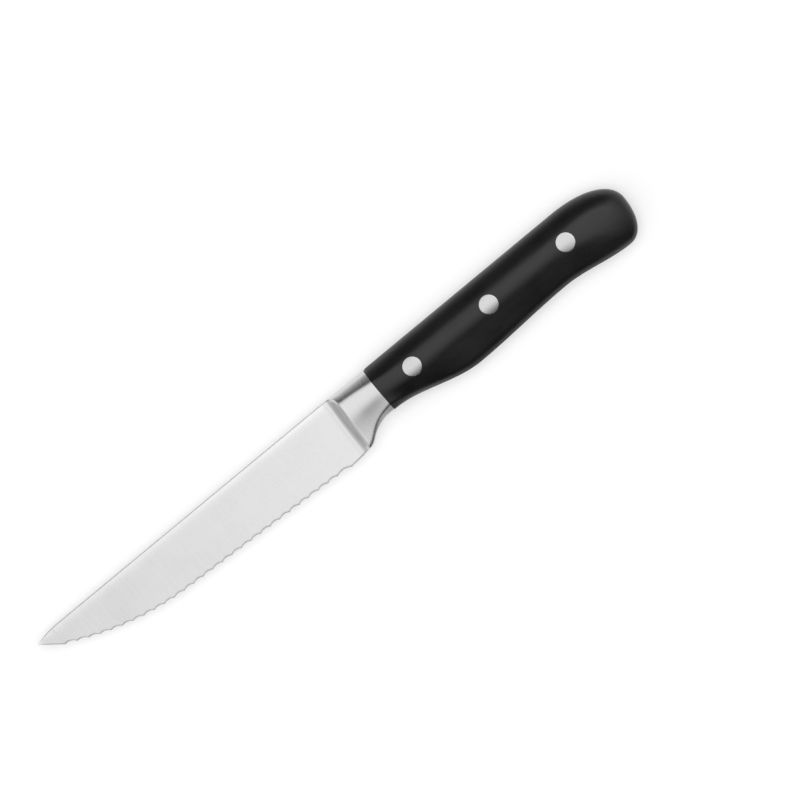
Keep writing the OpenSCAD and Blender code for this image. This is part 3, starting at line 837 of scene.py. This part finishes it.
def satin_steel(name, level, roughness, waves, depth):
    """Ground steel: fine lines across the piece, faint clouds, and brighter, smoother corners, partly from
    handling and partly a painted highlight; also a painted highlight beside the spine and painted light
    that rises from the tip to the heel.
    """
    material, tree, shader = new_material(name)
    lines = grain(tree, waves, detail=5.0, roughness=0.7)
    clouds = grain(tree, (70, 110, 110), detail=2.0, roughness=0.5)
    edge_wear_and_sheen, ground = attribute(tree, "wear_and_sheen"), attribute(tree, "ground")
    where = shader_node(tree, "TexCoord").outputs["Object"]
    parts = shader_node(tree, "SeparateXYZ", {0: where}).outputs
    # Painted highlight: a bright strip beside the spine, fading out at the bolster
    spine_highlight = level_ramp(tree, parts[1], PAINTED_SPINE_HIGHLIGHT)
    spine_highlight = maths(tree, "MULTIPLY", spine_highlight, ranged(tree, parts[0], 1.0, 0.0, *PAINTED_HIGHLIGHT_FADE))
    # Brighter by edge wear with a painted highlight, by the ground bevel's polish and by the painted
    # highlight beside the spine
    polish_and_sheen = total(
        tree,
        maths(tree, "MULTIPLY", edge_wear_and_sheen, WEAR_AND_SHEEN_GAIN),
        maths(tree, "MULTIPLY", ground, GROUND_POLISH),
        maths(tree, "MULTIPLY", spine_highlight, PAINTED_HIGHLIGHT_GAIN),
    )
    # Painted light: the base colour brightens from the tip to the heel
    painted_heel_light = ranged(tree, parts[0], 0.0, PAINTED_LIGHT_GAIN, *PAINTED_LIGHT_RUN)
    shade = total(tree, ranged(tree, lines, -0.06, 0.12), ranged(tree, clouds, 0.0, 0.12), painted_heel_light, polish_and_sheen)
    tree.links.new(grey_mix(tree, shade, level * 0.9, level * 1.3), shader.inputs["Base Color"])
    shader.inputs["Metallic"].default_value = 1
    rough = total(tree, ranged(tree, lines, -0.045, 0.045), ranged(tree, clouds, -0.02, 0.02), roughness)
    rough = maths(tree, "SUBTRACT", rough, maths(tree, "MULTIPLY", polish_and_sheen, 0.1))
    tree.links.new(rough, shader.inputs["Roughness"])
    clouds_depth = 2e-5
    tree.links.new(bump(tree, lines, depth, bump(tree, clouds, clouds_depth)), shader.inputs["Normal"])
    return material


def black_plastic(name):
    """Ground and buffed black plastic: a fine tooth, faint long scratches, and smoother, greyer edges,
    their grey partly from handling and partly a painted highlight along the rims.
    """
    material, tree, shader = new_material(name)
    tooth = grain(tree, (2600, 2600, 2600), detail=3.0, roughness=0.6)
    scratches = grain(tree, (120, 4200, 4200), detail=3.0, roughness=0.7)
    clouds = grain(tree, (90, 130, 130), detail=3.0, roughness=0.5)
    edge_wear_and_sheen = attribute(tree, "wear_and_sheen")
    shade = total(tree, ranged(tree, clouds, 0.0, 0.4), ranged(tree, tooth, 0.0, 0.3))
    # Greyer edges: partly wear, partly a painted highlight along the rims
    shade = total(tree, shade, maths(tree, "MULTIPLY", edge_wear_and_sheen, 0.8))
    tree.links.new(grey_mix(tree, shade, 0.0015, 0.0038), shader.inputs["Base Color"])
    rough = total(tree, ranged(tree, clouds, 0.28, 0.36), ranged(tree, scratches, -0.05, 0.05))
    rough = maths(tree, "SUBTRACT", rough, maths(tree, "MULTIPLY", edge_wear_and_sheen, 0.05))
    tree.links.new(rough, shader.inputs["Roughness"])
    shader.inputs["Specular IOR Level"].default_value = 0.56
    clouds_depth, scratch_depth, tooth_depth = 1e-4, 1.5e-5, 2.5e-5
    fine = bump(tree, scratches, scratch_depth, bump(tree, clouds, clouds_depth))
    tree.links.new(bump(tree, tooth, tooth_depth, fine), shader.inputs["Normal"])
    return material


# Studio


def add_camera():
    """Camera above the left side, turned so that the knife points down and to the left."""
    distance, tilt, roll = 1.4, math.radians(4.3), math.radians(39.583)
    target = Vector((0.02301, -0.00338, 0.007))
    back = Vector((math.sin(tilt), 0, math.cos(tilt)))
    level = Vector((math.cos(tilt), 0, -math.sin(tilt)))
    up = Vector((0, 1, 0))
    right = level * math.cos(roll) - up * math.sin(roll)
    top = level * math.sin(roll) + up * math.cos(roll)
    data = bpy.data.cameras.new("camera")
    data.sensor_width, data.lens = 36, 189.96
    data.clip_start, data.clip_end = 0.01, 100
    camera = bpy.data.objects.new("camera", data)
    scene.collection.objects.link(camera)
    turned = Matrix((right, top, back)).transposed().to_4x4()
    camera.matrix_world = Matrix.Translation(target + back * distance) @ turned
    scene.camera = camera


# Levels of the ceiling, as (lean, level), by how far a direction leans sideways, from -Y over the zenith
# to +Y, and by how far it leans along the knife, from -X to +X
ACROSS = (
    (-1.0, 0.45), (-0.97, 0.16), (-0.92, 0.05), (-0.82, 0.04), (-0.707, 0.13), (-0.588, 0.33),
    (-0.469, 0.6), (-0.342, 0.85), (-0.208, 1.0), (0.208, 1.0), (0.342, 0.85), (0.469, 0.6),
    (0.588, 0.34), (0.707, 0.15), (0.82, 0.08), (0.92, 0.09), (0.97, 0.2), (1.0, 0.5),
)
ALONG = (
    (-1.0, 0.45), (-0.707, 0.8), (-0.42, 1.0), (-0.34, 1.0), (-0.26, 0.78), (-0.18, 0.7), (-0.13, 0.9),
    (-0.09, 1.08), (0.342, 1.0), (0.707, 0.8), (1.0, 0.4),
)
SKY_STRENGTH = 1.25


def add_sky():
    """A long soft ceiling light over the knife, between dim walls."""
    world = bpy.data.worlds.new("studio")
    scene.world = world
    world.use_nodes = True
    tree = world.node_tree
    direction = shader_node(tree, "TexCoord").outputs["Generated"]
    parts = shader_node(tree, "SeparateXYZ", {0: direction}).outputs
    level = maths(tree, "MULTIPLY", level_ramp(tree, parts[1], ACROSS), level_ramp(tree, parts[0], ALONG))
    tree.links.new(level, tree.nodes["Background"].inputs["Color"])
    tree.nodes["Background"].inputs["Strength"].default_value = SKY_STRENGTH


def add_lamp():
    """A weak lamp over the knife that steel and plastic don't mirror."""
    data = bpy.data.lights.new("overhead", "AREA")
    data.shape, data.size, data.energy = "DISK", 1.2, 10
    lamp = bpy.data.objects.new("overhead", data)
    scene.collection.objects.link(lamp)
    lamp.location = (0.1, 0.05, 1.6)
    lamp.visible_glossy = False


# The floor's half width, and how far it lies below the knife, in metres
FLOOR_HALF, FLOOR_DROP = 12, 0.0002
FLOOR_COLOUR, FLOOR_GLOW = 0.6, 0.41


def add_floor():
    """A white floor, which the camera and the steel see as the bright background."""
    mesh, s = bpy.data.meshes.new("floor"), FLOOR_HALF
    mesh.from_pydata([(-s, -s, 0), (s, -s, 0), (s, s, 0), (-s, s, 0)], [], [(0, 1, 2, 3)])
    obj = bpy.data.objects.new("floor", mesh)
    scene.collection.objects.link(obj)
    obj.location.z = -FLOOR_DROP
    material, tree, shader = new_material("floor")
    tree.nodes.remove(shader)
    diffuse = shader_node(tree, "BsdfDiffuse", {"Color": (FLOOR_COLOUR, FLOOR_COLOUR, FLOOR_COLOUR, 1)})
    path = shader_node(tree, "LightPath").outputs
    seen = maths(tree, "MAXIMUM", path["Is Camera Ray"], path["Is Glossy Ray"])
    seen = maths(tree, "MAXIMUM", seen, path["Is Transmission Ray"])
    glow = shader_node(tree, "Emission", {"Strength": maths(tree, "MULTIPLY", seen, FLOOR_GLOW)})
    both = shader_node(tree, "AddShader", {0: diffuse.outputs[0], 1: glow.outputs[0]})
    tree.links.new(both.outputs[0], tree.nodes["Material Output"].inputs["Surface"])
    mesh.materials.append(material)


add_camera()
add_sky()
add_lamp()
add_floor()
blade_steel = satin_steel("blade_steel", level=0.69, roughness=0.29, waves=(2400, 60, 60), depth=4e-6)
rivet_steel = satin_steel("rivet_steel", level=0.57, roughness=0.26, waves=(2600, 500, 500), depth=5e-6)
black = black_plastic("black_grip")

add_piece("blade", blade_mesh("blade"), blade_steel, "forged_blade")
for side, word in ((1, "left"), (-1, "right")):
    mesh = grip_mesh(word + "_grip", side)
    grip = add_piece(word + "_grip", mesh, black, word + "_scale")
    cut_holes(grip, side)
for (at, depth), place in zip(rivet_places(), ("front", "middle", "rear")):
    for side, half in ((1, "pin"), (-1, "socket")):
        name = place + "_" + half
        mesh = rivet_half(name, at, depth, side, half == "pin")
        add_piece(name, mesh, rivet_steel, f"{place}_rivet_{half}")
